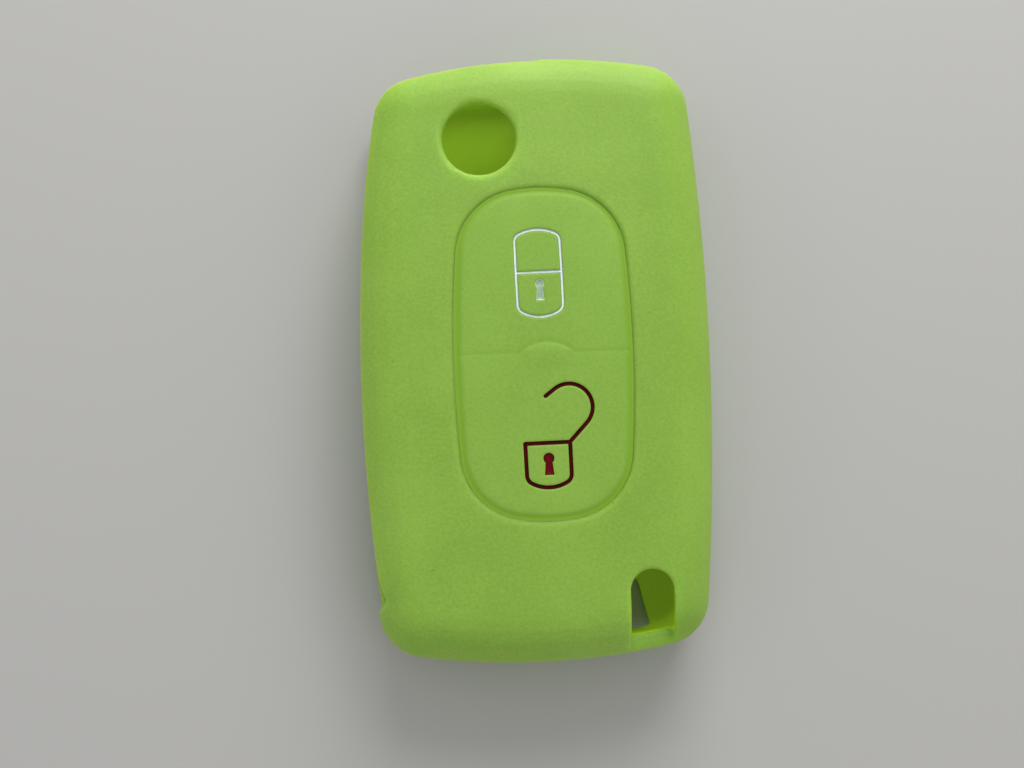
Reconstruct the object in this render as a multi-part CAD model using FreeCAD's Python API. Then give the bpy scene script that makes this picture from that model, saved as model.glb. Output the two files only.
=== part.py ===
import FreeCAD, Part
import math
import os

# Silicone sleeve for a flip-out key fob, in millimetres.
# It lies on its back: +Z leaves the button face, +Y points to the release-hole end.

V = FreeCAD.Vector
UP = V(0, 0, 1)

# Sleeve body
LENGTH = 76.0
WIDTH = 43.7
THICK = 17.5
SIDE_RADIUS = 334.0
END_RADIUS = 91.0
END_LEAN = 1.7
CORNER_RADIUS = 5.9
FRONT_EDGE = 5.5
BACK_EDGE = 4.0

# Swell of the front: it falls away from the middle, and not at all below the skirt
SWELL_ACROSS = 180.0
SWELL_ALONG = 580.0
SKIRT_Z = 8.0
SWELL_FULL_Z = 15.0
FIELD_DROP = 0.355
EDGE_BANDS = 6

# Walls
SIDE_WALL = 2.2
FRONT_WALL = 1.8
BACK_WALL = 1.6
POCKET_BEVEL = 3.0
POCKET_SWELL = 0.5

# Blade mouth in the left side and round the upper left corner
MOUTH_Z0 = 4.6
MOUTH_Z1 = 13.4
MOUTH_LOW_Y = -30.95
MOUTH_END_X = 1.5
MOUTH_DEPTH = 12.0
MOUTH_CORNER = 2.0

# Release-button hole
HOLE_X = -6.43
HOLE_Y = 26.52
HOLE_RADIUS = 4.6
HOLE_BEVEL = 0.4

# Key-ring notch: an arch in the front and end walls, and a tapered opening in the back
NOTCH_X = 12.93
NOTCH_HALF = 2.65
NOTCH_TOP_Y = -26.95
NOTCH_CUT_Z = 12.5
BACK_NOTCH_LEFT = 8.3
BACK_NOTCH_RIGHT = 12.85
BACK_NOTCH_SPRING_Y = -29.8
BACK_NOTCH_RISE = 2.2
BACK_NOTCH_FLARE = 0.24

# Press pads
PAD_X = 0.7
PAD_Y = -0.46
PAD_HALF_W = 10.72
PAD_HALF_L = 20.32
PAD_SIDE_RADIUS = 190.0
PAD_END_RADIUS = 22.0
PAD_CORNER = 8.0
GROOVE = 0.5
GROOVE_BEVEL = 0.22
SEAM_Y = -0.44
SEAM_GAP = 0.3
TONGUE_THICK = 0.45
TONGUE_CLEARANCE = 0.05

# Raised nub on the seam
NUB_X = 1.05
NUB_HALF_L = 3.3
NUB_HALF_W = 1.3
NUB_HEIGHT = 0.45

# Flexing web at the bottom of the groove
WEB_LOW_Z = THICK - FRONT_WALL
WEB_THICK = 0.45
WEB_RISE = 0.75


def corner_points(half_w, half_l, side_r, end_r, corner, inset, lean):
    """Start, middle and end of the upper right corner arc of a barrel outline."""
    sx = half_w - side_r
    ey = half_l - end_r
    a = side_r - corner
    b = end_r - corner
    gap = math.hypot(lean - sx, ey)
    along = (a * a - b * b + gap * gap) / (2 * gap)
    off = math.sqrt(a * a - along * along)
    ux, uy = (lean - sx) / gap, ey / gap
    kx = sx + along * ux - off * uy
    ky = along * uy + off * ux
    s_ang = math.atan2(ky, kx - sx)
    e_ang = math.atan2(ky - ey, kx - lean)
    r = corner - inset
    return [(kx + r * math.cos(t), ky + r * math.sin(t)) for t in (s_ang, (s_ang + e_ang) / 2, e_ang)]


def barrel_points(cx, cy, half_w, half_l, side_r, end_r, corner, inset=0.0, lean=0.0):
    """Ends and middles of the eight arcs of a barrel outline, in turn.

    The lean moves the upper end's arc to the right and the lower end's to the left.
    """
    near = corner_points(half_w, half_l, side_r, end_r, corner, inset, lean)
    far = corner_points(half_w, half_l, side_r, end_r, corner, inset, -lean)

    def at(p, mx=1, my=1):
        return V(cx + mx * p[0], cy + my * p[1], 0)

    side = (half_w - inset, 0.0)
    end = (lean, half_l - inset)
    points = [at(p) for p in near] + [at(end)]
    points += [at(p, -1, 1) for p in reversed(far)] + [at(side, -1, 1)]
    points += [at(p, -1, -1) for p in near] + [at(end, -1, -1)]
    return points + [at(p, 1, -1) for p in reversed(far)] + [at(side)]


def ring(points):
    """Closed wire of arcs, each from the end of the last one through a middle to the next end."""
    loop = points + points[:1]
    return Part.Wire([Part.Arc(*loop[i:i + 3]).toShape() for i in range(0, len(points), 2)])


def prism(wire, z0, z1):
    """Solid between two heights on a flat closed wire."""
    face = Part.Face(wire)
    face.translate(V(0, 0, z0))
    return face.extrude(V(0, 0, z1 - z0))


def sleeve_points(inset):
    """Points of the sleeve's plan outline, drawn in by a wall's thickness."""
    return barrel_points(0, 0, WIDTH / 2, LENGTH / 2, SIDE_RADIUS, END_RADIUS, CORNER_RADIUS, inset, END_LEAN)


def sleeve_wire(inset):
    """Plan outline of the sleeve, drawn in by a wall's thickness."""
    return ring(sleeve_points(inset))


def pad_points(inset):
    """Points of the outline of the oval pad field."""
    return barrel_points(PAD_X, PAD_Y, PAD_HALF_W, PAD_HALF_L, PAD_SIDE_RADIUS, PAD_END_RADIUS,
                         PAD_CORNER, inset)


def pad_wire(inset):
    """Outline of the oval pad field."""
    return ring(pad_points(inset))


def edges_at(shape, z):
    """Edges of a shape that lie at one height."""
    return [e for e in shape.Edges if e.BoundBox.ZMin > z - 0.01 and e.BoundBox.ZMax < z + 0.01]


def swollen(points, z):
    """Points set at a height of the front and lowered by its swell."""
    t = min(max((z - SKIRT_Z) / (SWELL_FULL_Z - SKIRT_Z), 0.0), 1.0)
    share = t * t * (3 - 2 * t)
    return [V(p.x, p.y, z - share * (p.x ** 2 / SWELL_ACROSS + p.y ** 2 / SWELL_ALONG) / 2) for p in points]


def sleeve_body():
    """Outside of the sleeve: a skirt with a round to the back, under a swollen front.

    The front edge is laid in narrow bands, since the swell leaves it no one radius.
    """
    skirt = prism(sleeve_wire(0.0), 0.0, SKIRT_Z)
    skirt = skirt.makeFillet(BACK_EDGE, edges_at(skirt, 0.0))
    rim_z = THICK - FRONT_EDGE
    sections = [swollen(sleeve_points(0.0), SKIRT_Z)]
    for k in range(EDGE_BANDS + 1):
        a = math.pi / 2 * k / EDGE_BANDS
        outline = sleeve_points(FRONT_EDGE * (1 - math.cos(a)))
        sections.append(swollen(outline, rim_z + FRONT_EDGE * math.sin(a)))
    brim = sleeve_points(FRONT_EDGE)
    field = pad_points(-GROOVE / 2 - 2 * GROOVE_BEVEL)
    for k in (1, 2):
        sections.append(swollen([p + (q - p) * (k / 3) for p, q in zip(brim, field)], THICK))
    sections.append([V(p.x, p.y, THICK - FIELD_DROP) for p in field])
    front = Part.makeLoft([ring(s) for s in sections], True, True)
    return skirt.fuse(front).removeSplitter()


def swell_block(top, share=1.0):
    """Block under a surface that swells like the front, or by a share of it, from a height in its middle."""
    across = SWELL_ACROSS / share
    hub = V(0, 0, top - SWELL_ALONG / share)
    low = top - 2 * THICK
    sag = across - math.sqrt(across ** 2 - WIDTH ** 2)
    left, right = V(-WIDTH, 0, top - sag), V(WIDTH, 0, top - sag)
    foot, heel = V(WIDTH, 0, low), V(-WIDTH, 0, low)
    edges = [Part.Arc(left, V(0, 0, top), right).toShape()]
    edges += [Part.makeLine(*pair) for pair in ((right, foot), (foot, heel), (heel, left))]
    face = Part.Face(Part.Wire(edges))
    turn = math.degrees(LENGTH * share / SWELL_ALONG)
    face.rotate(hub, V(1, 0, 0), -turn)
    return face.revolve(hub, V(1, 0, 0), 2 * turn)


def pocket_form():
    """Hollow for the fob, bevelled under the front edge, with a roof that swells less than the front."""
    top = THICK - FRONT_WALL
    form = prism(sleeve_wire(SIDE_WALL), BACK_WALL, top)
    return form.makeChamfer(POCKET_BEVEL, edges_at(form, top)).common(swell_block(top, POCKET_SWELL))


def rounded_slot(x0, x1, y0, y1, axis):
    """Box of the mouth's height with its four edges along one axis rounded."""
    box = Part.makeBox(x1 - x0, y1 - y0, MOUTH_Z1 - MOUTH_Z0, V(x0, y0, MOUTH_Z0))
    edges = []
    for e in box.Edges:
        d = e.Vertexes[1].Point.sub(e.Vertexes[0].Point).normalize()
        if abs(d.dot(axis)) > 0.99:
            edges.append(e)
    return box.makeFillet(MOUTH_CORNER, edges)


def mouth_tool():
    """Slot along the left side that turns over the upper left corner."""
    side = rounded_slot(-WIDTH, -WIDTH / 2 + MOUTH_DEPTH, MOUTH_LOW_Y, LENGTH, V(1, 0, 0))
    end = rounded_slot(-WIDTH, MOUTH_END_X, LENGTH / 2 - MOUTH_DEPTH, LENGTH, V(0, 1, 0))
    return side.fuse(end).removeSplitter()


def notch_arch():
    """Upright arch of the key-ring notch, open towards the lower end, above the low part of the end wall."""
    spring = NOTCH_TOP_Y - NOTCH_HALF
    leg = Part.makeBox(2 * NOTCH_HALF, LENGTH, THICK, V(NOTCH_X - NOTCH_HALF, spring - LENGTH, NOTCH_CUT_Z))
    bow = Part.makeCylinder(NOTCH_HALF, THICK, V(NOTCH_X, spring, NOTCH_CUT_Z), UP)
    return leg.fuse(bow).removeSplitter()


def back_opening():
    """Tapered opening in the back wall, up to the inner face of the end wall."""
    low = -LENGTH / 2
    run = BACK_NOTCH_SPRING_Y - low
    corner = V(BACK_NOTCH_LEFT, low, 0)
    flared = V(BACK_NOTCH_RIGHT + BACK_NOTCH_FLARE * run, low, 0)
    right = V(BACK_NOTCH_RIGHT, BACK_NOTCH_SPRING_Y, 0)
    crown = V((BACK_NOTCH_LEFT + BACK_NOTCH_RIGHT) / 2, BACK_NOTCH_SPRING_Y + BACK_NOTCH_RISE, 0)
    left = V(BACK_NOTCH_LEFT, BACK_NOTCH_SPRING_Y, 0)
    edges = [
        Part.makeLine(corner, flared),
        Part.makeLine(flared, right),
        Part.Arc(right, crown, left).toShape(),
        Part.makeLine(left, corner),
    ]
    inside = prism(sleeve_wire(SIDE_WALL), -THICK, THICK)
    return prism(Part.Wire(edges), -1, THICK / 2).common(inside)


def hole_tool():
    """Round hole with a bevel that leans with the swell of the front."""
    low = THICK - 3 * FRONT_WALL
    bore = Part.makeCylinder(HOLE_RADIUS, 4 * FRONT_WALL, V(HOLE_X, HOLE_Y, low), UP)
    rim = swollen([V(HOLE_X, HOLE_Y, 0)], THICK)[0]
    lean = V(HOLE_X / SWELL_ACROSS, HOLE_Y / SWELL_ALONG, 1)
    return bore.fuse(Part.makeCone(HOLE_RADIUS, HOLE_RADIUS + 2, 2, rim - UP * HOLE_BEVEL, lean))


def taper(low_inset, low_z, high_inset, high_z):
    """Block between two heights, with an outline of the pad field at each."""
    low = pad_wire(low_inset)
    high = pad_wire(high_inset)
    low.translate(V(0, 0, low_z))
    high.translate(V(0, 0, high_z))
    return Part.makeLoft([low, high], True, True)


def window_tool():
    """Opening for the pads, with a bevel where it leaves the front."""
    edge = -GROOVE / 2
    rim_z = THICK - FIELD_DROP
    bevel = taper(edge, rim_z - GROOVE_BEVEL, edge - 2 * GROOVE_BEVEL, rim_z + GROOVE_BEVEL)
    return prism(pad_wire(edge), THICK - 2 * FRONT_WALL, THICK + 1).fuse(bevel)


def sleeve_shell():
    """Hollow sleeve with its mouth, release hole, notch and pad window."""
    shell = sleeve_body().cut(notch_arch()).cut(mouth_tool()).cut(pocket_form())
    return shell.cut(hole_tool()).cut(window_tool()).cut(back_opening())


def lens(grow, z0, z1):
    """Lens-shaped prism of the nub, widened by an amount."""
    r = (NUB_HALF_L ** 2 + NUB_HALF_W ** 2) / (2 * NUB_HALF_W)
    off = r - NUB_HALF_W
    low = Part.makeCylinder(r + grow, z1 - z0, V(NUB_X, SEAM_Y - off, z0), UP)
    high = Part.makeCylinder(r + grow, z1 - z0, V(NUB_X, SEAM_Y + off, z0), UP)
    return low.common(high)


def lower_side(grow, z0, z1):
    """Region of the lower pad, including the tab that carries the nub."""
    line = SEAM_Y - SEAM_GAP / 2 + grow
    half = Part.makeBox(2 * WIDTH, LENGTH, z1 - z0, V(-WIDTH, line - LENGTH, z0))
    return half.fuse(lens(grow, z0, z1)).removeSplitter()


def nub():
    """Low spindle whose cap stands proud of the seam."""
    across = (NUB_HALF_W ** 2 + NUB_HEIGHT ** 2) / (2 * NUB_HEIGHT)
    along = (NUB_HALF_L ** 2 + NUB_HEIGHT ** 2) / (2 * NUB_HEIGHT)
    axis_z = THICK + NUB_HEIGHT - across
    reach = math.sqrt(along ** 2 - (along - across) ** 2)
    a = V(NUB_X - reach, SEAM_Y, axis_z)
    b = V(NUB_X + reach, SEAM_Y, axis_z)
    top = V(NUB_X, SEAM_Y, THICK + NUB_HEIGHT)
    face = Part.Face(Part.Wire([Part.Arc(a, top, b).toShape(), Part.makeLine(b, a)]))
    return face.revolve(a, V(1, 0, 0), 360)


def pad_field():
    """Both pads as one block, bevelled along the groove and swollen like the front."""
    low = THICK - FRONT_WALL
    shoulder = THICK - FIELD_DROP - GROOVE_BEVEL
    rise = 2 * (FIELD_DROP + GROOVE_BEVEL)
    edge = GROOVE / 2
    block = prism(pad_wire(edge), low, shoulder).fuse(taper(edge, shoulder, edge + rise, shoulder + rise))
    return block.common(swell_block(THICK))


def lock_pad():
    """Upper pad, above the seam."""
    low = THICK - FRONT_WALL
    return pad_field().cut(lower_side(SEAM_GAP, low - 1, THICK + 1))


def unlock_pad():
    """Lower pad, with the nub and with the tongue that closes the seam from below."""
    low = THICK - FRONT_WALL
    field = pad_field()
    pad = field.common(lower_side(0.0, low, THICK + 1))
    pad = pad.fuse(nub().common(lens(0.0, low, THICK + 2 * NUB_HEIGHT)))
    reach = lower_side(SEAM_GAP - TONGUE_CLEARANCE, low, low + TONGUE_THICK)
    return pad.fuse(reach.common(field)).removeSplitter()


def web_ring():
    """Sloping ring across the groove: low at the sleeve, high at the pads."""
    def cone(z):
        return taper(-GROOVE / 2, z, GROOVE / 2, z + WEB_RISE)

    top_z = WEB_LOW_Z + WEB_THICK
    column = prism(pad_wire(-GROOVE / 2), WEB_LOW_Z, top_z)
    body = cone(top_z).fuse(column).cut(cone(WEB_LOW_Z))
    return body.cut(prism(pad_wire(GROOVE / 2), WEB_LOW_Z - 1, THICK)).removeSplitter()


def web_part(upper):
    """Half of the web on one side of the seam line."""
    y0 = SEAM_Y if upper else SEAM_Y - LENGTH
    return web_ring().common(Part.makeBox(2 * WIDTH, LENGTH, THICK, V(-WIDTH, y0, WEB_LOW_Z - 1)))


def save(name, shape):
    """Write one piece as its own solid."""
    solids = shape.Solids
    print(name, "solids", len(solids), "valid", shape.isValid(), "volume", round(shape.Volume, 2))
    solids[0].exportStep("parts/" + name + ".step")


os.makedirs("parts", exist_ok=True)
save("sleeve_shell", sleeve_shell())
save("lock_pad", lock_pad())
save("unlock_pad", unlock_pad())
save("lock_pad_web", web_part(True))
save("unlock_pad_web", web_part(False))
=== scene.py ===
"""Looks of a lime silicone key fob cover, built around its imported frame.

The sleeve, its two press pads and the webs that carry them are soft mouldings,
and the padlock signs are ink laid in channels of the pads. Lengths in the
classes are millimetres, unless a name ends in _m; meshes are written in metres.
"""

from __future__ import annotations

import logging
import math
from dataclasses import dataclass, replace
from enum import Enum
from typing import Any, Sequence

import bmesh
import bpy
import numpy as np
from mathutils import Matrix, Vector
from mathutils.geometry import delaunay_2d_cdt


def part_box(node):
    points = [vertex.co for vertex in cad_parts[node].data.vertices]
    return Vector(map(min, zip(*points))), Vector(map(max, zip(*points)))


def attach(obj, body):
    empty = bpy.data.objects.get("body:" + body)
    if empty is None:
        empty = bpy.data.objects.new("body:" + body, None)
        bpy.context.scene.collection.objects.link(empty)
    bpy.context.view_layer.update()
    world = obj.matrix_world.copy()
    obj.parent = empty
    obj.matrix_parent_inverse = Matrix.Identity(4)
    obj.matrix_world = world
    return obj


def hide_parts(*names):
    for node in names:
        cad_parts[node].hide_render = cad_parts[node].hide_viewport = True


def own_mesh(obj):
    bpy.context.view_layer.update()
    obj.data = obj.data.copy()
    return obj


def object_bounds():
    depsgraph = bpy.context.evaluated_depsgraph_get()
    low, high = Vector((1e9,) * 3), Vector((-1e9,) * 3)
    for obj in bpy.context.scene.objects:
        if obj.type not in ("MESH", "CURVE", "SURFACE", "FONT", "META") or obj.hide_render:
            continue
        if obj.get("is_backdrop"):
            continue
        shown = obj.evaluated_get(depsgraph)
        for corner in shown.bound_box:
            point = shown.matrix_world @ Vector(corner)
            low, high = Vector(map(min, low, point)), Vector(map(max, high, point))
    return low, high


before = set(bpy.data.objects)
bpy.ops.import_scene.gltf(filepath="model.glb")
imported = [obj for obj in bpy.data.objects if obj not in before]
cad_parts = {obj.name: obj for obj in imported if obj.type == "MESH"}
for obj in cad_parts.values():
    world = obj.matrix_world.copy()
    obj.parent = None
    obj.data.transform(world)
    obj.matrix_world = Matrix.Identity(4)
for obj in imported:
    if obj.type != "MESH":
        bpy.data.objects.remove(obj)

MM = 0.001
TINY = 1e-9
# Attribute that holds each vertex's share of painted hollow shade, which also sets the painted glow in
# the pocket.
SHADE_GLOW_ATTRIBUTE = "hollow"
INSIDE_SHARE = 0.5
LOG = logging.getLogger("cover")
Colour = tuple[float, float, float]
BLACK: Colour = (0.0, 0.0, 0.0)
Points = np.ndarray


class Wire:
    """A node's output socket that takes part in Python arithmetic."""

    def __init__(self, graph: Graph, socket: bpy.types.NodeSocket) -> None:
        """Keep the graph that owns the socket."""
        self.graph = graph
        self.socket = socket

    def _math(self, operation: str, a: Any, b: Any) -> Wire:
        """Add one Math node for an operator."""
        return self.graph.add("ShaderNodeMath", {"operation": operation}, {0: a, 1: b})

    def __add__(self, other: Any) -> Wire:
        """Sum of two values."""
        return self._math("ADD", self, other)

    def __radd__(self, other: Any) -> Wire:
        """Sum with a number on the left."""
        return self._math("ADD", other, self)

    def __sub__(self, other: Any) -> Wire:
        """Difference of two values."""
        return self._math("SUBTRACT", self, other)

    def __rsub__(self, other: Any) -> Wire:
        """Difference with a number on the left."""
        return self._math("SUBTRACT", other, self)

    def __mul__(self, other: Any) -> Wire:
        """Product of two values."""
        return self._math("MULTIPLY", self, other)

    def __rmul__(self, other: Any) -> Wire:
        """Product with a number on the left."""
        return self._math("MULTIPLY", other, self)


class Graph:
    """Node tree of one material."""

    def __init__(self, name: str) -> None:
        """Start a material with an empty tree.

        Args:
            name: Name of the material.
        """
        self.material = bpy.data.materials.new(name)
        self.material.use_nodes = True
        self.tree = self.material.node_tree
        self.tree.nodes.clear()

    def add(self, kind: str, settings: dict[str, Any] | None = None,
            inputs: dict[Any, Any] | None = None, out: int = 0) -> Wire:
        """Add a node, set it up and feed its sockets.

        Args:
            kind: Blender's type name of the node.
            settings: Properties to set first; "stops" fills a colour ramp.
            inputs: Numbers, colours or wires by socket name or index.
            out: Index of the output to return.

        Returns:
            The chosen output.
        """
        node = self.tree.nodes.new(kind)
        for key, value in (settings or {}).items():
            if key == "stops":
                ramp = node.color_ramp.elements
                while len(ramp) < len(value):
                    ramp.new(1.0)
                for stop, (place, colour) in zip(ramp, value):
                    stop.position = place
                    stop.color = colour
            else:
                setattr(node, key, value)
        for key, value in (inputs or {}).items():
            if isinstance(value, Wire):
                self.tree.links.new(value.socket, node.inputs[key])
            else:
                node.inputs[key].default_value = value
        return Wire(self, node.outputs[out] if node.outputs else None)

    def position(self) -> Wire:
        """Place on the piece, which moves with it."""
        return self.add("ShaderNodeTexCoord", out=3)

    def noise(self, scale: float, detail: float, roughness: float = 0.5) -> Wire:
        """Noise from 0 to 1 over the piece.

        Args:
            scale: Spots per metre.
            detail: Octaves of finer noise.
            roughness: Weight of the finer octaves.

        Returns:
            The noise value.
        """
        return self.add("ShaderNodeTexNoise", None, {
            "Vector": self.position(), "Scale": scale, "Detail": detail, "Roughness": roughness})

    def ramp(self, value: Wire, low: float, high: float) -> Wire:
        """Stretch a value so that low becomes 0 and high becomes 1."""
        return self.add("ShaderNodeMapRange", None, {
            "Value": value, "From Min": low, "From Max": high})

    def mix(self, share: Wire, a: Any, b: Any) -> Wire:
        """Blend two colours by a share."""
        return self.add("ShaderNodeMix", {"data_type": "RGBA"}, {0: share, 6: a, 7: b}, out=2)

    def bump(self, height: Wire, depth: float, strength: float) -> Wire:
        """Normal disturbed by a height.

        Args:
            height: Height from 0 to 1.
            depth: Real depth of the relief in metres.
            strength: Share of the disturbance that is used.

        Returns:
            The normal.
        """
        return self.add("ShaderNodeBump", None, {
            "Height": height, "Distance": depth, "Strength": strength})

    def finish(self, inputs: dict[str, Any]) -> bpy.types.Material:
        """Close the tree with one surface shader.

        Args:
            inputs: Sockets of the surface shader.

        Returns:
            The finished material.
        """
        shader = self.add("ShaderNodeBsdfPrincipled", None, inputs)
        self.add("ShaderNodeOutputMaterial", None, {"Surface": shader})
        return self.material


def rgba(colour: Colour) -> tuple[float, float, float, float]:
    """A colour with full opacity."""
    return (*colour, 1.0)


@dataclass(frozen=True)
class Silicone:
    """Matte, slightly translucent lime silicone with a fine moulded grain.

    The glow is painted light for the light that comes through thin walls into the hollows, and the
    darker, more saturated hollow tint is painted shade there.
    """

    name: str = "lime_silicone"
    tint: Colour = (0.308, 0.513, 0.068)
    deep_tint: Colour = (0.25, 0.44, 0.045)
    hollow_shade_tint: Colour = (0.2, 0.4, 0.013)
    speck_tint: Colour = (0.14, 0.25, 0.03)
    glow: Colour = BLACK
    roughness: float = 0.6
    gloss: float = 0.45
    scatter: float = 1.0
    scatter_mm: float = 3.0
    scatter_share: tuple[float, float, float] = (0.85, 1.0, 0.3)
    cloud_scale: float = 90.0
    cloud_detail: float = 2.0
    cloud_share: float = 0.4
    grain_scale: float = 2600.0
    grain_detail: float = 3.0
    grain_fineness: float = 0.6
    grain_span: tuple[float, float] = (0.3, 0.7)
    grain_depth_mm: float = 0.05
    grain_strength: float = 0.35
    tone_span: tuple[float, float] = (0.38, 0.62)
    rough_swing: float = 0.12
    speck_scale: float = 1500.0
    speck_span: tuple[float, float] = (0.85, 0.89)
    speck_cover: float = 0.5

    def material(self) -> bpy.types.Material:
        """Make the material.

        Returns:
            A lime material with clouds, grain and a few dust specks, with painted shade in the hollows.
        """
        g = Graph(self.name)
        cloud = g.noise(self.cloud_scale, self.cloud_detail)
        grain = g.noise(self.grain_scale, self.grain_detail, self.grain_fineness)
        tone = g.ramp(cloud * self.cloud_share + grain * (1 - self.cloud_share), *self.tone_span)
        hollow = g.add("ShaderNodeAttribute", {"attribute_name": SHADE_GLOW_ATTRIBUTE}, out=2)
        face = g.mix(tone, rgba(self.deep_tint), rgba(self.tint))
        # Painted shade: the colour turns to the darker, more saturated hollow tint by the vertex's
        # share.
        body = g.mix(hollow, face, rgba(self.hollow_shade_tint))
        speck = g.ramp(g.noise(self.speck_scale, 0.0), *self.speck_span)
        colour = g.mix(speck * self.speck_cover, body, rgba(self.speck_tint))
        rough = self.roughness + (g.ramp(grain, *self.grain_span) - 0.5) * self.rough_swing
        sockets = {
            "Base Color": colour,
            "Roughness": rough,
            "Specular IOR Level": self.gloss,
            "Subsurface Weight": self.scatter,
            "Subsurface Radius": self.scatter_share,
            "Subsurface Scale": self.scatter_mm * MM,
            "Normal": g.bump(grain, self.grain_depth_mm * MM, self.grain_strength),
        }
        if self.glow != BLACK:
            deep = g.ramp(hollow, INSIDE_SHARE, 1.0)
            sockets["Emission Color"] = g.mix(deep, rgba(BLACK), rgba(self.glow))
            sockets["Emission Strength"] = 1.0
        return g.finish(sockets)


@dataclass(frozen=True)
class Ink:
    """Glossy ink film in the floor of a sign's channel; also used for painted shade on the channel
    banks and a painted highlight in a keyhole.
    """

    name: str
    tint: Colour
    thin_tint: Colour
    roughness: float = 0.35
    coat: float = 0.3
    gloss: float = 0.5
    patch_scale: float = 900.0
    patch_detail: float = 3.0
    cover_span: tuple[float, float] = (0.35, 0.6)
    rough_swing: float = 0.2
    relief_mm: float = 0.02
    relief_strength: float = 0.3

    def material(self) -> bpy.types.Material:
        """Make the material.

        Returns:
            An ink whose cover and gloss vary a little along the strokes.
        """
        g = Graph(self.name)
        patch = g.noise(self.patch_scale, self.patch_detail)
        cover = g.ramp(patch, *self.cover_span)
        return g.finish({
            "Base Color": g.mix(cover, rgba(self.thin_tint), rgba(self.tint)),
            "Roughness": self.roughness + (patch - 0.5) * self.rough_swing,
            "Specular IOR Level": self.gloss,
            "Coat Weight": cover * self.coat,
            "Normal": g.bump(patch, self.relief_mm * MM, self.relief_strength),
        })


def arc(centre: Sequence[float], radius: float, start: float, end: float, step: float) -> Points:
    """Points along a circular arc.

    Args:
        centre: Middle of the circle.
        radius: Radius of the circle.
        start: First angle in radians.
        end: Last angle in radians.
        step: Wanted distance between points.

    Returns:
        Rows of x and y, both ends included.
    """
    count = max(2, math.ceil(abs(end - start) * radius / step) + 1)
    angles = np.linspace(start, end, count)
    return np.column_stack([centre[0] + radius * np.cos(angles), centre[1] + radius * np.sin(angles)])


def spread(points: Points, step: float) -> Points:
    """Points along a polyline, close enough together.

    Args:
        points: Corners of the polyline.
        step: Largest distance between points.

    Returns:
        The same line with points added on its runs.
    """
    rows = [points[:1]]
    for a, b in zip(points[:-1], points[1:]):
        count = max(1, math.ceil(np.linalg.norm(b - a) / step))
        rows.append(a + (b - a) * (np.arange(1, count + 1) / count)[:, None])
    return np.vstack(rows)


def line_distance(points: Points, line: Points) -> np.ndarray:
    """Distance of points from a polyline.

    Args:
        points: Rows of x and y.
        line: Corners of the polyline.

    Returns:
        One distance for each point.
    """
    a = line[:-1]
    run = line[1:] - a
    off = points[:, None, :] - a[None]
    share = np.clip((off * run).sum(2) / np.maximum((run * run).sum(1), TINY), 0, 1)
    return np.linalg.norm(off - share[..., None] * run[None], axis=2).min(1)


def inside(points: Points, loop: Points) -> np.ndarray:
    """Whether points lie within a closed loop.

    Args:
        points: Rows of x and y.
        loop: Corners of the loop, without the first one repeated.

    Returns:
        One truth value for each point.
    """
    a = loop
    b = np.roll(loop, -1, axis=0)
    x, y = points[:, :1], points[:, 1:]
    spans = (a[:, 1] > y) != (b[:, 1] > y)
    rise = np.where(b[:, 1] == a[:, 1], TINY, b[:, 1] - a[:, 1])
    crossing = a[:, 0] + (y - a[:, 1]) * (b[:, 0] - a[:, 0]) / rise
    return (spans & (x < crossing)).sum(1) % 2 == 1


def sideways(line: Points, reach: float, closed: bool) -> Points:
    """A polyline moved to its left by a distance.

    Args:
        line: Corners of the polyline.
        reach: Distance to the left; negative moves it to the right.
        closed: Whether the last corner joins the first.

    Returns:
        The moved corners.
    """
    ahead = np.roll(line, -1, axis=0)
    behind = np.roll(line, 1, axis=0)
    if not closed:
        ahead[-1], behind[0] = line[-1], line[0]
    run = ahead - behind
    run /= np.linalg.norm(run, axis=1)[:, None]
    return line + reach * np.column_stack([-run[:, 1], run[:, 0]])


def eased(share: np.ndarray) -> np.ndarray:
    """A share kept from 0 to 1, with a soft start and a soft end."""
    share = np.clip(share, 0, 1)
    return share * share * (3 - 2 * share)


@dataclass(frozen=True)
class Barrel:
    """Outline of four bulged sides and four tangent corner arcs."""

    x: float
    y: float
    half_w: float
    half_l: float
    side_r: float
    end_r: float
    corner: float
    corner_step: float = 0.15

    def quadrant(self, inset: float, step: float) -> Points:
        """Points from the right side to the top, about the outline's centre.

        Args:
            inset: Distance by which the outline is drawn in.
            step: Wanted distance between points.

        Returns:
            Rows of x and y.
        """
        sx, ey = self.half_w - self.side_r, self.half_l - self.end_r
        a, b = self.side_r - self.corner, self.end_r - self.corner
        gap = math.hypot(sx, ey)
        along = (a * a - b * b + gap * gap) / (2 * gap)
        off = math.sqrt(a * a - along * along)
        kx = sx - along * sx / gap - off * ey / gap
        ky = along * ey / gap - off * sx / gap
        low, high = math.atan2(ky, kx - sx), math.atan2(ky - ey, kx)
        fine = min(step, self.corner_step * self.corner)
        return np.vstack([
            arc((sx, 0), self.side_r - inset, 0, low, step)[:-1],
            arc((kx, ky), self.corner - inset, low, high, fine)[:-1],
            arc((0, ey), self.end_r - inset, high, math.pi / 2, step),
        ])

    def bow(self, upper: bool, inset: float = 0.0, step: float = 0.4) -> Points:
        """Half of the outline, from its right side to its left.

        Args:
            upper: Whether it runs over the top or under the bottom.
            inset: Distance by which the outline is drawn in.
            step: Wanted distance between points.

        Returns:
            Rows of x and y.
        """
        q = self.quadrant(inset, step)
        half = np.vstack([q, q[-2::-1] * (-1, 1)])
        return half * (1, 1 if upper else -1) + (self.x, self.y)

    def loop(self, inset: float = 0.0, step: float = 0.4) -> Points:
        """The whole outline, with the first point repeated.

        Args:
            inset: Distance by which the outline is drawn in.
            step: Wanted distance between points.

        Returns:
            Rows of x and y.
        """
        return np.vstack([self.bow(True, inset, step), self.bow(False, inset, step)[-2::-1]])


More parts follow.
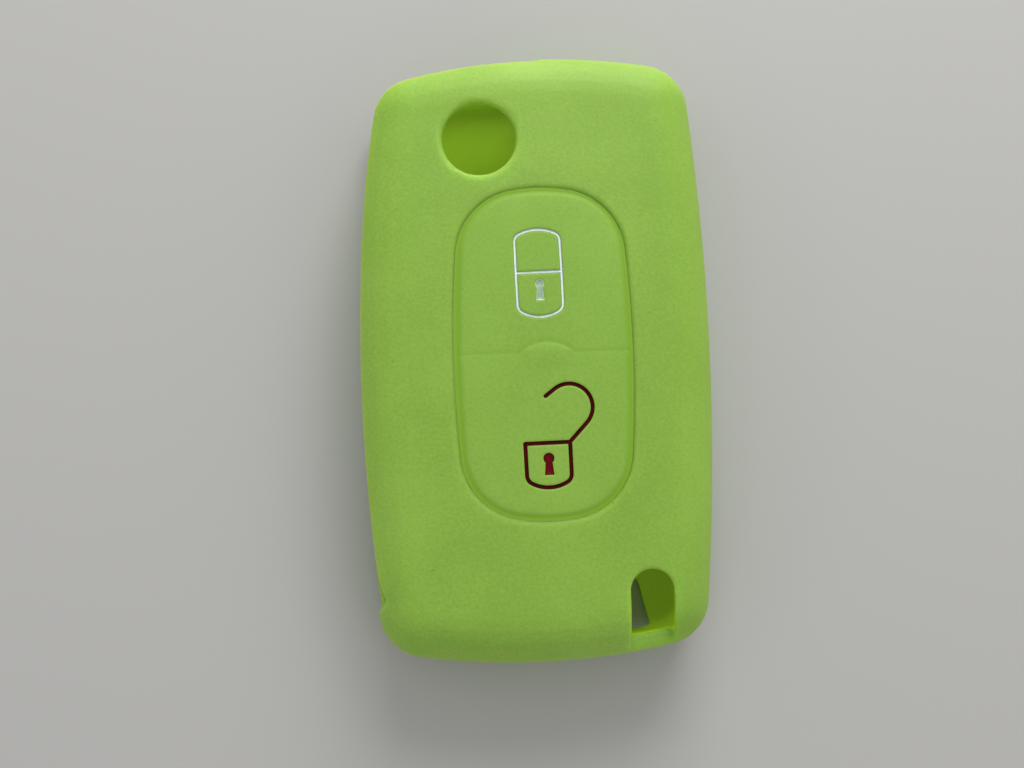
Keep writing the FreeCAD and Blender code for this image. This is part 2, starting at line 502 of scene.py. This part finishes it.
PAD_OUTLINE = Barrel(x=0.7, y=-0.46, half_w=10.72, half_l=20.32, side_r=190.0, end_r=22.0, corner=8.0)


@dataclass(frozen=True)
class Groove:
    """Soft valley along the oval border between the sleeve and its pads."""

    depth: float = 0.2
    width: float = 0.42

    def share(self, away: np.ndarray) -> np.ndarray:
        """Share of the full depth at distances from the border."""
        return np.exp(-(away / self.width) ** 2)


GROOVE = Groove()


@dataclass(frozen=True)
class Crown:
    """Gentle swell of the button face across and along the sleeve."""

    across: float = 180.0
    along: float = 580.0
    top: float = 17.5

    def raised(self, points: Points, height: np.ndarray | float) -> np.ndarray:
        """Points set at a height above the swell.

        Args:
            points: Rows of x and y.
            height: Height of each point above the face; negative below it.

        Returns:
            Rows of x, y and z.
        """
        x, y = points.T
        fall = x * x / (2 * self.across) + y * y / (2 * self.along)
        return np.column_stack([x, y, self.top + height - fall])


CROWN = Crown()


def new_piece(name: str, places: np.ndarray, faces: list[Sequence[int]],
              sharp_deg: float = 60.0) -> bpy.types.Object:
    """Make a smooth mesh object.

    Args:
        name: Name of the piece.
        places: Rows of x, y and z in millimetres.
        faces: Corner indices of each face.
        sharp_deg: Angle from which an edge stays sharp.

    Returns:
        The new object.
    """
    mesh = bpy.data.meshes.new(name)
    mesh.from_pydata((np.asarray(places) * MM).tolist(), [], [list(map(int, f)) for f in faces])
    mesh.validate()
    work = bmesh.new()
    work.from_mesh(mesh)
    bmesh.ops.recalc_face_normals(work, faces=work.faces)
    work.to_mesh(mesh)
    work.free()
    mesh.shade_smooth()
    mesh.set_sharp_from_angle(angle=math.radians(sharp_deg))
    piece = bpy.data.objects.new(name, mesh)
    bpy.context.scene.collection.objects.link(piece)
    return piece


def rows_of(items: Any, key: str) -> np.ndarray:
    """One vector of each of a mesh's vertices or faces."""
    flat = np.zeros(3 * len(items))
    items.foreach_get(key, flat)
    return flat.reshape(-1, 3)


def places_of(mesh: bpy.types.Mesh) -> np.ndarray:
    """Vertices of a mesh in millimetres."""
    return rows_of(mesh.vertices, "co") / MM


def set_places(mesh: bpy.types.Mesh, places: np.ndarray) -> None:
    """Write vertices given in millimetres back to a mesh."""
    mesh.vertices.foreach_set("co", (places * MM).ravel())
    mesh.update()


def mark_shade_glow(mesh: bpy.types.Mesh, share: np.ndarray) -> None:
    """Note for the finish how much painted shade, and in the pocket painted glow, each vertex of a mesh
    takes.
    """
    layer = mesh.attributes.new(SHADE_GLOW_ATTRIBUTE, "FLOAT", "POINT")
    layer.data.foreach_set("value", np.asarray(share, dtype=np.float32))


@dataclass
class Sleeve:
    """The hollow moulded sleeve, with every edge softened."""

    finish: Silicone
    inside_glow_finish: Silicone
    node: str = "sleeve_shell"
    body: str = "sleeve"
    front_z: float = 15.5
    window: float = -0.25
    window_shift: float = 0.37
    shift_reach: float = 3.0
    pocket: tuple[tuple[float, float], ...] = ((-19.2, 19.2), (-35.0, 35.0), (1.8, 15.2))
    core: tuple[tuple[float, float], ...] = ((-12.0, 12.0), (-28.0, 28.0), (7.5, 9.5))
    fade: float = 1.2
    facing_full: float = 0.4
    weld: float = 0.002
    voxel: float = 0.3
    grid_turn_deg: float = 27.0
    passes: int = 5
    kept_share: float = 0.2
    lip_bow: tuple[float, float] = (0.25, 0.8)
    lip_z: tuple[float, float] = (6.5, 11.5)
    lip_y: float = 1.75
    lip_reach: tuple[float, float] = (31.65, 34.25)
    lip_power: tuple[int, int] = (20, 6)
    lip_x: tuple[float, float] = (14.0, 21.5)

    def build(self) -> list[bpy.types.Object]:
        """Soften a copy of the frame's shell and bow its lips.

        Returns:
            The sleeve alone, riding on its body.
        """
        piece = bpy.data.objects.new("silicone_sleeve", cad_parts[self.node].data.copy())
        bpy.context.scene.collection.objects.link(piece)
        turn = Matrix.Rotation(math.radians(self.grid_turn_deg), 4, "Z")
        piece.data.transform(turn)
        piece.modifiers.new("joined", "WELD").merge_threshold = self.weld * MM
        voxels = piece.modifiers.new("soft", "REMESH")
        voxels.mode = "VOXEL"
        voxels.voxel_size = self.voxel * MM
        relaxed = piece.modifiers.new("relaxed", "SMOOTH")
        relaxed.iterations = self.passes
        self._bake(piece)
        piece.data.transform(turn.inverted())
        set_places(piece.data, self.grooved(self.drawn_in(self.bowed(places_of(piece.data)))))
        fewer = piece.modifiers.new("fewer", "DECIMATE")
        fewer.ratio = self.kept_share
        self._bake(piece)
        piece.data.shade_smooth()
        piece.data.materials.clear()
        places = places_of(piece.data)
        within = self.pocket_share(places, rows_of(piece.data.vertices, "normal"))
        # Painted shade in the groove round the pads and on the pocket's walls.
        mark_shade_glow(piece.data, np.maximum(self.groove_share(places), within))
        for finish in (self.finish, self.inside_glow_finish):
            piece.data.materials.append(finish.material())
        # The pocket's faces take the inside material, which adds a painted glow there.
        sides = piece.data.polygons
        within = self.pocket_share(rows_of(sides, "center") / MM, rows_of(sides, "normal"))
        sides.foreach_set("material_index", (within > INSIDE_SHARE).astype(np.int32))
        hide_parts(self.node)
        return [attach(piece, self.body)]

    def pocket_share(self, places: np.ndarray, normals: np.ndarray) -> np.ndarray:
        """How far places lie on the pocket's own walls, fading out at its openings.

        Args:
            places: Rows of x, y and z.
            normals: Direction that each place faces.

        Returns:
            One share for each row.
        """
        low, high = np.array(self.pocket).T
        past = np.maximum(low - places, places - high)
        towards = np.clip(places, *np.array(self.core).T) - places
        facing = (normals * towards).sum(1) / np.maximum(np.linalg.norm(towards, axis=1), TINY)
        return np.clip(1 - past / self.fade, 0, 1).prod(1) * np.clip(facing / self.facing_full, 0, 1)

    def groove_share(self, places: np.ndarray) -> np.ndarray:
        """How far places on the front lie in the groove round the pads.

        Args:
            places: Rows of x, y and z.

        Returns:
            One share for each row.
        """
        near = self.near_window(places)
        share = np.zeros(len(places))
        border = PAD_OUTLINE.loop(self.window + self.window_shift)
        share[near] = GROOVE.share(line_distance(places[near, :2], border))
        return share

    def near_window(self, places: np.ndarray) -> np.ndarray:
        """Indices of places on the front close to the window of the pads.

        Args:
            places: Rows of x, y and z.

        Returns:
            Row numbers.
        """
        outline = PAD_OUTLINE
        past = np.abs(places[:, :2] - (outline.x, outline.y)) - (outline.half_w, outline.half_l)
        return np.flatnonzero((places[:, 2] > self.front_z) & (past.max(1) < self.shift_reach))

    def drawn_in(self, places: np.ndarray) -> np.ndarray:
        """Draw the rim of the window in, so that it closes up to the pads.

        Args:
            places: Rows of x, y and z.

        Returns:
            The moved rows.
        """
        outline = PAD_OUTLINE
        near = self.near_window(places)
        away = line_distance(places[near, :2], outline.loop(self.window))
        pull = self.window_shift * np.clip(1 - away / self.shift_reach, 0, 1) ** 2
        from_middle = places[near, :2] - (outline.x, outline.y)
        moved = places.copy()
        moved[near, :2] -= pull[:, None] * from_middle / (outline.half_w, outline.half_l)
        return moved

    def grooved(self, places: np.ndarray) -> np.ndarray:
        """Sink the front towards the window of the pads."""
        return places - GROOVE.depth * self.groove_share(places)[:, None] * (0, 0, 1)

    def bowed(self, places: np.ndarray) -> np.ndarray:
        """Bow the long lips of the side mouth a little outwards, the front one more.

        Args:
            places: Rows of x, y and z.

        Returns:
            The bowed rows.
        """
        x, y, z = places.T
        side = eased((-x - self.lip_x[0]) / (self.lip_x[1] - self.lip_x[0]))
        upper = (y > self.lip_y).astype(int)
        run = np.abs(y - self.lip_y) / np.take(self.lip_reach, upper)
        along = np.clip(1 - run ** np.take(self.lip_power, upper), 0, 1)
        bow = np.interp(z, self.lip_z, self.lip_bow)
        return np.column_stack([x - bow * side * along, y, z])

    @staticmethod
    def _bake(piece: bpy.types.Object) -> None:
        """Turn the modifiers of a piece into its mesh."""
        graph = bpy.context.evaluated_depsgraph_get()
        piece.data = bpy.data.meshes.new_from_object(piece.evaluated_get(graph))
        piece.modifiers.clear()


@dataclass(frozen=True)
class Keyhole:
    """Round head over a flared skirt."""

    x: float
    y: float
    radius: float
    base_y: float
    neck: float
    base: float
    head_step: float = 0.12
    skirt_step: float = 0.15

    def loop(self) -> Points:
        """Corners of the keyhole, anticlockwise, without the first one repeated."""
        lean = math.asin(self.neck / self.radius)
        start, end = lean - math.pi / 2, 1.5 * math.pi - lean
        head = arc((self.x, self.y), self.radius, start, end, self.head_step)
        left, right = (self.x - self.base, self.base_y), (self.x + self.base, self.base_y)
        skirt = spread(np.array([head[-1], left, right, head[0]]), self.skirt_step)
        return np.vstack([head[:-1], skirt[:-1]])


@dataclass(frozen=True)
class Sign:
    """Channels of one padlock sign: stroked lines and a keyhole."""

    lines: tuple[Points, ...]
    keyhole: Keyhole
    stroke: float
    turn_deg: float = 1.2
    depth: float = 0.2
    bank: float = 0.13
    rim: float = 0.05
    margin: float = 0.3
    cap_step: float = 0.1
    least_reach: float = 0.02

    def turned(self, line: Points) -> Points:
        """A line of the sign, leant about the keyhole's head.

        Args:
            line: Rows of x and y.

        Returns:
            The leant rows.
        """
        c, s = math.cos(math.radians(self.turn_deg)), math.sin(math.radians(self.turn_deg))
        hub = np.array((self.keyhole.x, self.keyhole.y))
        return hub + (line - hub) @ np.array([(c, s), (-s, c)])

    def stroke_reach(self, points: Points) -> np.ndarray:
        """Distance outside the stroked lines' edges; negative within them."""
        away = [line_distance(points, self.turned(line)) for line in self.lines]
        return np.min(away, axis=0) - self.stroke / 2

    def hole_reach(self, points: Points) -> np.ndarray:
        """Distance outside the keyhole's edge; negative within it."""
        loop = self.turned(self.keyhole.loop())
        away = line_distance(points, np.vstack([loop, loop[:1]]))
        return np.where(inside(points, loop), -away, away)

    def depth_at(self, points: Points) -> np.ndarray:
        """Depth of the channels below the pad's face.

        Args:
            points: Rows of x and y.

        Returns:
            One depth for each point.
        """
        reach = np.minimum(self.stroke_reach(points), self.hole_reach(points))
        return self.depth * eased((self.rim - reach) / (self.rim + self.bank))

    def capsule(self, run: Points, left: Points, right: Points, reach: float) -> Points:
        """Closed line round an open one, with round ends.

        Args:
            run: The open line.
            left: The line moved to its left.
            right: The line moved to its right.
            reach: Distance by which they were moved.

        Returns:
            Rows of x and y, without the first one repeated.
        """
        caps = []
        for end, start in ((run[-1], right[-1]), (run[0], left[0])):
            angle = math.atan2(*(start - end)[::-1])
            caps.append(arc(end, reach, angle, angle + math.pi, self.cap_step)[1:-1])
        return np.vstack([right, caps[0], left[::-1], caps[1]])

    def rings(self) -> list[Points]:
        """Closed lines beside the channels along which the relief needs points.

        Returns:
            The lines, each without its first point repeated.
        """
        found = []
        levels = (self.margin, self.rim, 0.0, -self.bank / 2, -self.bank)
        for line in self.lines:
            closed = bool(np.allclose(line[0], line[-1]))
            run = self.turned(line[:-1] if closed else line)
            for level in levels:
                reach = self.stroke / 2 + level
                left, right = sideways(run, reach, closed), sideways(run, -reach, closed)
                if closed:
                    found += [left, right]
                elif reach > self.least_reach:
                    found.append(self.capsule(run, left, right, reach))
        for level in levels:
            found.append(sideways(self.turned(self.keyhole.loop()), -level, True))
        return found


SIGN_STEP = 0.22


def closed_padlock() -> Sign:
    """Tall outline with a bar across it and a keyhole below the bar.

    Returns:
        The upper pad's sign.
    """
    upper = Barrel(x=0.4, y=9.31, half_w=2.79, half_l=5.41, side_r=400.0, end_r=5.0, corner=1.0)
    lower = replace(upper, end_r=4.4, corner=1.15)
    outline = np.vstack([upper.bow(True, 0, SIGN_STEP), lower.bow(False, 0, SIGN_STEP)[-2::-1]])
    bar = spread(np.array([(-2.38, 9.42), (3.18, 9.42)]), SIGN_STEP)
    keyhole = Keyhole(x=0.45, y=7.97, radius=0.54, base_y=5.94, neck=0.34, base=0.5)
    return Sign((outline, bar), keyhole, stroke=0.35)


def open_padlock() -> Sign:
    """Flat-topped body, a keyhole and a shackle swung out to the right.

    Returns:
        The lower pad's sign.
    """
    case = Barrel(x=0.82, y=-11.5, half_w=2.71, half_l=5.36, side_r=400.0, end_r=4.4, corner=1.1)
    bowl = case.bow(False, 0, SIGN_STEP)
    body = np.vstack([bowl, spread(bowl[[-1, 0]], SIGN_STEP)[1:]])
    hub, radius = np.array((3.67, -7.28)), 2.83
    foot, tip = bowl[0], np.array((0.86, -5.83))

    def tangent(point: Points, turn: int) -> float:
        """Angle at which a straight from a point touches the shackle's bend."""
        run = point - hub
        return math.atan2(run[1], run[0]) + turn * math.acos(radius / np.linalg.norm(run))

    bend = arc(hub, radius, tangent(foot, 1), tangent(tip, -1), SIGN_STEP)
    shackle = spread(np.vstack([foot, bend, tip]), SIGN_STEP)
    keyhole = Keyhole(x=0.86, y=-13.36, radius=0.66, base_y=-15.36, neck=0.42, base=0.56)
    return Sign((body, shackle), keyhole, stroke=0.48)


class PadPlace(Enum):
    """Which of the two pads it is."""

    UPPER = "lock"
    LOWER = "unlock"


@dataclass
class Pad:
    """A press pad with rounded edges, its share of the seam and its sign."""

    place: PadPlace
    sign: Sign
    finish: Silicone
    stroke_ink: Ink
    edge_shade_ink: Ink
    hole_ink_and_highlight: Ink
    ink_slot: str
    outline: Barrel = PAD_OUTLINE
    inset: float = 0.25
    seam_y: float = -0.44
    seam_gap: float = 0.004
    seam_depth: float = 0.03
    seam_width: float = 0.3
    seam_shade: float = 0.25
    nub_x: float = 1.05
    nub_half_l: float = 3.3
    nub_half_w: float = 1.3
    nub_height: float = 0.16
    nub_power: float = 1.5
    seam_points: int = 151
    slope_rows: tuple[float, ...] = (0.3, 0.6, 0.9, 1.3, 1.8)
    row_trim: int = 3
    grid: float = 1.1
    merge: float = 1e-4
    film: float = 0.015

    @property
    def node(self) -> str:
        """Name of the frame's node that this pad stands for."""
        return f"{self.place.value}_pad"

    @property
    def body(self) -> str:
        """Name of the frame's body that this pad rides on."""
        return f"{self.place.value}_button"

    def lens(self, x: np.ndarray, grow: float) -> np.ndarray:
        """Half width of the nub's lens at places along it.

        Args:
            x: Places along the seam.
            grow: Distance by which the lens is widened.

        Returns:
            Half widths; zero or less beyond the lens.
        """
        r = (self.nub_half_l ** 2 + self.nub_half_w ** 2) / (2 * self.nub_half_w)
        off = r - self.nub_half_w
        return np.sqrt(np.maximum((r + grow) ** 2 - (x - self.nub_x) ** 2, 0)) - off

    def seam(self) -> Points:
        """The pad's edge along the seam, from left to right."""
        upper = self.place is PadPlace.UPPER
        line = self.seam_gap / 2 if upper else -self.seam_gap / 2
        grow = self.seam_gap if upper else 0.0
        half = self.outline.half_w - self.inset
        x = self.outline.x + np.linspace(-half, half, self.seam_points)
        return np.column_stack([x, self.seam_y + np.maximum(line, self.lens(x, grow))])

    def border(self) -> tuple[Points, Points]:
        """The pad's plan as two lines.

        Returns:
            The bow along the groove, from right to left, and the seam, from left to right.
        """
        upper = self.place is PadPlace.UPPER
        seam = self.seam()
        bow = self.outline.bow(upper, self.inset)
        return np.vstack([seam[-1:], bow[1:-1], seam[:1]]), seam

    def hollows(self, points: Points) -> tuple[np.ndarray, np.ndarray]:
        """How far points lie in the groove and in the seam.

        Args:
            points: Rows of x and y.

        Returns:
            The shares in the groove and the shares in the seam.
        """
        bow, seam = self.border()
        away = line_distance(points, seam) / self.seam_width
        return GROOVE.share(line_distance(points, bow)), np.exp(-away * away)

    def height(self, points: Points) -> np.ndarray:
        """Height of the pad's upper side above the swell of the face.

        Args:
            points: Rows of x and y.

        Returns:
            One height for each point.
        """
        groove, seam = self.hollows(points)
        drop = GROOVE.depth * groove + self.seam_depth * seam
        along = (points[:, 0] - self.nub_x) / self.nub_half_l
        half = np.maximum(self.lens(points[:, 0], 0.0), TINY)
        across = (points[:, 1] - self.seam_y) / half
        swell = np.clip(1 - along ** 2, 0, 1) * np.clip(1 - across ** 2, 0, 1)
        nub = 0.0 if self.place is PadPlace.UPPER else self.nub_height * swell ** self.nub_power
        return nub - drop - self.sign.depth_at(points)

    def relief(self) -> tuple[Points, np.ndarray]:
        """Triangles of the pad's upper side, in plan.

        Returns:
            Rows of x and y, and rows of three indices.
        """
        bow, seam = self.border()
        loop = np.vstack([bow[:-1], seam[:-1]])
        lines = [(line, True) for line in [loop] + self.sign.rings()]
        turn = 1 if self.place is PadPlace.UPPER else -1
        for share in self.slope_rows:
            for line, width in ((bow, GROOVE.width), (seam, self.seam_width)):
                row = sideways(line, turn * width * share, False)
                lines.append((row[self.row_trim:-self.row_trim], False))
        rows, edges, count = [], [], 0
        for line, closed in lines:
            ids = np.arange(count, count + len(line))
            pairs = np.column_stack([ids, np.roll(ids, -1)])
            edges += (pairs if closed else pairs[:-1]).tolist()
            rows.append(line)
            count += len(line)
        xs, ys = (np.arange(low, high, self.grid) for low, high in zip(loop.min(0), loop.max(0)))
        grid = np.column_stack([axis.ravel() for axis in np.meshgrid(xs, ys)])
        taken = np.vstack(rows)
        clear = np.array([np.min(np.linalg.norm(taken - p, axis=1)) > self.grid / 2 for p in grid])
        rows.append(grid[clear & inside(grid, loop)])
        points = [Vector(p) for p in np.vstack(rows)]
        made = delaunay_2d_cdt(points, edges, [], 0, self.merge)
        flat = np.array([v[:] for v in made[0]])
        tris = np.array(made[2])
        return flat, tris[inside(flat[tris].mean(1), loop)]

    def build(self) -> list[bpy.types.Object]:
        """Build the pad and the ink of its sign, with painted shade on the white sign's banks and a
        painted highlight in the red keyhole.

        Returns:
            The pad and the ink, riding on the pad's body.
        """
        flat, tris = self.relief()
        top = CROWN.raised(flat, self.height(flat))
        under = np.column_stack([flat, np.full(len(flat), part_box(self.node)[0].z / MM)])
        pad = self._solid(f"{self.node}_moulding", top, under, tris)
        pad.data.materials.append(self.finish.material())
        groove, seam = self.hollows(places_of(pad.data)[:, :2])
        # Painted shade in the groove round the pad and, weaker, along the seam.
        mark_shade_glow(pad.data, np.maximum(groove, self.seam_shade * seam))
        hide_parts(self.node)
        middles = flat[tris].mean(1)
        film = np.array((0, 0, self.film))
        pieces = [pad]
        stroke = self.sign.stroke_reach(middles)
        hole = self.sign.hole_reach(middles)
        edge = -self.sign.bank / 2
        hole_rim = (hole < 0) & (hole >= edge)
        # The grey edge ink is painted shade on the banks of the white sign's channels; the red
        # keyhole's lighter ink is a painted highlight.
        inks = (
            ("strokes", (stroke < edge) | hole_rim, self.stroke_ink),
            ("edges", (stroke < 0) & (stroke >= edge), self.edge_shade_ink),
            ("keyhole", hole < edge, self.hole_ink_and_highlight),
        )
        for word, chosen, ink in inks:
            name = f"{self.place.value}_sign_{word}"
            piece = self._solid(name, top + film, top - film, tris[chosen])
            piece.data.materials.append(ink.material())
            pieces.append(piece)
        return [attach(piece, self.body) for piece in pieces]

    @staticmethod
    def _solid(name: str, top: np.ndarray, under: np.ndarray, tris: np.ndarray) -> bpy.types.Object:
        """Close two matching sheets into a solid.

        Args:
            name: Name of the piece.
            top: Rows of x, y and z of the upper sheet.
            under: The same for the lower sheet.
            tris: Triangles that both sheets share.

        Returns:
            The piece.
        """
        used, local = np.unique(tris, return_inverse=True)
        local = local.reshape(-1, 3)
        count = len(used)
        edges = dict.fromkeys((tri[k - 1], tri[k]) for tri in local.tolist() for k in (1, 2, 0))
        walls = [(p, q, q + count, p + count) for p, q in edges if (q, p) not in edges]
        faces = local.tolist() + (local[:, ::-1] + count).tolist() + walls
        return new_piece(name, np.vstack([top[used], under[used]]), faces)


@dataclass
class Web:
    """Soft ring that closes the groove round a pad."""

    place: PadPlace
    finish: Silicone
    outline: Barrel = PAD_OUTLINE
    outer: float = -0.45
    inner: float = 0.244
    travel: float = 0.7
    sharp_deg: float = 40.0

    def build(self) -> list[bpy.types.Object]:
        """Draw the ring's section along the pad's bow.

        Returns:
            The web alone, riding on the sleeve.
        """
        node = f"{self.place.value}_pad_web"
        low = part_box(node)[0].z / MM
        upper = self.place is PadPlace.UPPER
        bow = self.outline.bow(upper)
        lines = [sideways(bow, reach if upper else -reach, False) for reach in (self.outer, self.inner)]
        tops = [CROWN.raised(line, -GROOVE.depth) for line in lines]
        feet = [np.column_stack([line, np.full(len(line), low)]) for line in lines]
        rows = [feet[0], tops[0], tops[1], feet[1]]
        n = len(bow)
        sides = len(rows)
        faces = [[k * n for k in range(sides)], [k * n + n - 1 for k in range(sides)]]
        for k in range(sides):
            a, b = k * n, (k + 1) % sides * n
            faces += [(a + i, a + i + 1, b + i + 1, b + i) for i in range(n - 1)]
        piece = new_piece(f"{node}_fold", np.vstack(rows), faces, self.sharp_deg)
        piece.data.materials.append(self.finish.material())
        # Painted shade over the whole web, for the darker line along the groove.
        mark_shade_glow(piece.data, np.ones(len(piece.data.vertices)))
        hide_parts(node)
        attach(piece, "sleeve")
        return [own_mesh(piece)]


@dataclass(frozen=True)
class Lamp:
    """A square soft lamp that points at the object."""

    name: str
    watts: float
    place_m: tuple[float, float, float]
    size_m: float

    def build(self) -> None:
        """Hang the lamp in the scene."""
        light = bpy.data.lights.new(self.name, "AREA")
        light.energy = self.watts
        light.size = self.size_m
        lamp = bpy.data.objects.new(self.name, light)
        lamp.location = self.place_m
        lamp.rotation_euler = (-Vector(self.place_m)).to_track_quat("-Z", "Y").to_euler()
        bpy.context.scene.collection.objects.link(lamp)


@dataclass
class Studio:
    """Pale floor, soft light and the photograph's camera."""

    floor_tint: Colour = (0.48, 0.475, 0.46)
    floor_half_m: float = 1.5
    floor_gap: float = 0.02
    floor_scale: float = 40.0
    floor_detail: float = 2.0
    floor_swing: float = 0.08
    floor_rough: float = 0.62
    ambient: float = 0.6
    key: Lamp = Lamp("key", watts=1.65, place_m=(0.09, 0.4, 0.3), size_m=0.3)
    low: Lamp = Lamp("low", watts=0.5, place_m=(0.06, 0.42, 0.04), size_m=0.12)
    focal_px: float = 1500.0
    frame_px: int = 1024
    sensor: float = 36.0
    yaw_deg: float = 1.37
    pitch_deg: float = -6.163
    roll_deg: float = 1.781
    aside_mm: tuple[float, float] = (3.173, 4.316)
    distance_mm: float = 181.93
    face_mm: float = 17.5
    near_m: float = 0.005

    def build(self) -> None:
        """Make the floor, the lights, the world and the camera."""
        self._floor()
        self._light()
        self._camera()
        bpy.context.scene.view_settings.view_transform = "Standard"

    def _floor(self) -> None:
        """Lay a wide plain floor just clear of the object's lowest point."""
        s = self.floor_half_m / MM
        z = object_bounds()[0].z / MM - self.floor_gap
        corners = np.array([(-s, -s, z), (s, -s, z), (s, s, z), (-s, s, z)])
        floor = new_piece("floor", corners, [(0, 1, 2, 3)])
        g = Graph("pale_floor")
        rough = g.noise(self.floor_scale, self.floor_detail) * self.floor_swing + self.floor_rough
        floor.data.materials.append(g.finish({"Base Color": rgba(self.floor_tint), "Roughness": rough}))
        floor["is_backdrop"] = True

    def _light(self) -> None:
        """Add an even world and the lamps beyond the release-hole end."""
        world = bpy.data.worlds.new("studio")
        bpy.context.scene.world = world
        world.use_nodes = True
        sky = world.node_tree.nodes["Background"]
        sky.inputs["Color"].default_value = (1.0, 1.0, 1.0, 1.0)
        sky.inputs["Strength"].default_value = self.ambient
        for lamp in (self.key, self.low):
            lamp.build()

    def _camera(self) -> None:
        """Stand the camera where the photograph was taken from."""
        lens = bpy.data.cameras.new("camera")
        lens.sensor_width = self.sensor
        lens.lens = self.sensor * self.focal_px / self.frame_px
        lens.clip_start = self.near_m
        turn = Matrix.Rotation(math.radians(self.roll_deg), 3, "Z")
        turn = turn @ Matrix.Rotation(math.radians(self.pitch_deg), 3, "X")
        turn = turn @ Matrix.Rotation(math.radians(self.yaw_deg), 3, "Y")
        back = turn.transposed()
        aside = Vector((-self.aside_mm[0], -self.aside_mm[1], self.distance_mm))
        place = (Vector((0, 0, self.face_mm)) + back @ aside) * MM
        camera = bpy.data.objects.new("camera", lens)
        camera.matrix_world = Matrix.Translation(place) @ back.to_4x4()
        bpy.context.scene.collection.objects.link(camera)
        bpy.context.scene.camera = camera


def main() -> None:
    """Build every piece in order."""
    logging.basicConfig(level=logging.INFO, format="%(name)s: %(message)s")
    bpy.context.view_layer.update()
    silicone = Silicone()
    pad_silicone = Silicone(
        "lime_silicone_pad", tint=(0.255, 0.465, 0.052), deep_tint=(0.215, 0.405, 0.038), scatter=0.0)
    # Inside finish: painted shade by its hollow tint and painted light by its glow, in the pocket.
    inside_glow_silicone = Silicone(
        "lime_silicone_inside_painted_glow", hollow_shade_tint=(0.22, 0.44, 0.012), glow=(0.085, 0.108, 0.008),
        gloss=0.0, scatter_mm=5.0)
    white = Ink("white_ink", tint=(0.88, 0.96, 0.88), thin_tint=(0.78, 0.89, 0.8))
    # Grey ink on the channel banks is painted shade.
    bank_shade_grey = Ink("white_ink_painted_bank_shade", tint=(0.22, 0.34, 0.34), thin_tint=(0.19, 0.31, 0.28))
    thin_white = Ink("thin_white_ink", tint=(0.36, 0.5, 0.38), thin_tint=(0.3, 0.45, 0.28))
    dull = {"roughness": 0.6, "coat": 0.0, "gloss": 0.08}
    red = Ink("red_ink", tint=(0.05, 0.001, 0.001), thin_tint=(0.07, 0.001, 0.001), **dull)
    # The keyhole's lighter red is a painted highlight for the shine of its floor.
    keyhole_red_highlight = Ink("keyhole_red_painted_highlight", tint=(0.14, 0.004, 0.005), thin_tint=(0.1, 0.003, 0.003), **dull)
    parts = [
        Sleeve(silicone, inside_glow_silicone),
        Pad(PadPlace.UPPER, closed_padlock(), pad_silicone, white, bank_shade_grey, thin_white, "white_ink"),
        Pad(PadPlace.LOWER, open_padlock(), pad_silicone, red, red, keyhole_red_highlight, "red_ink"),
        Web(PadPlace.UPPER, pad_silicone),
        Web(PadPlace.LOWER, pad_silicone),
    ]
    for part in parts:
        for piece in part.build():
            LOG.info("%s: %d faces", piece.name, len(piece.data.polygons))
    Studio().build()


if __name__ == "__main__":
    main()
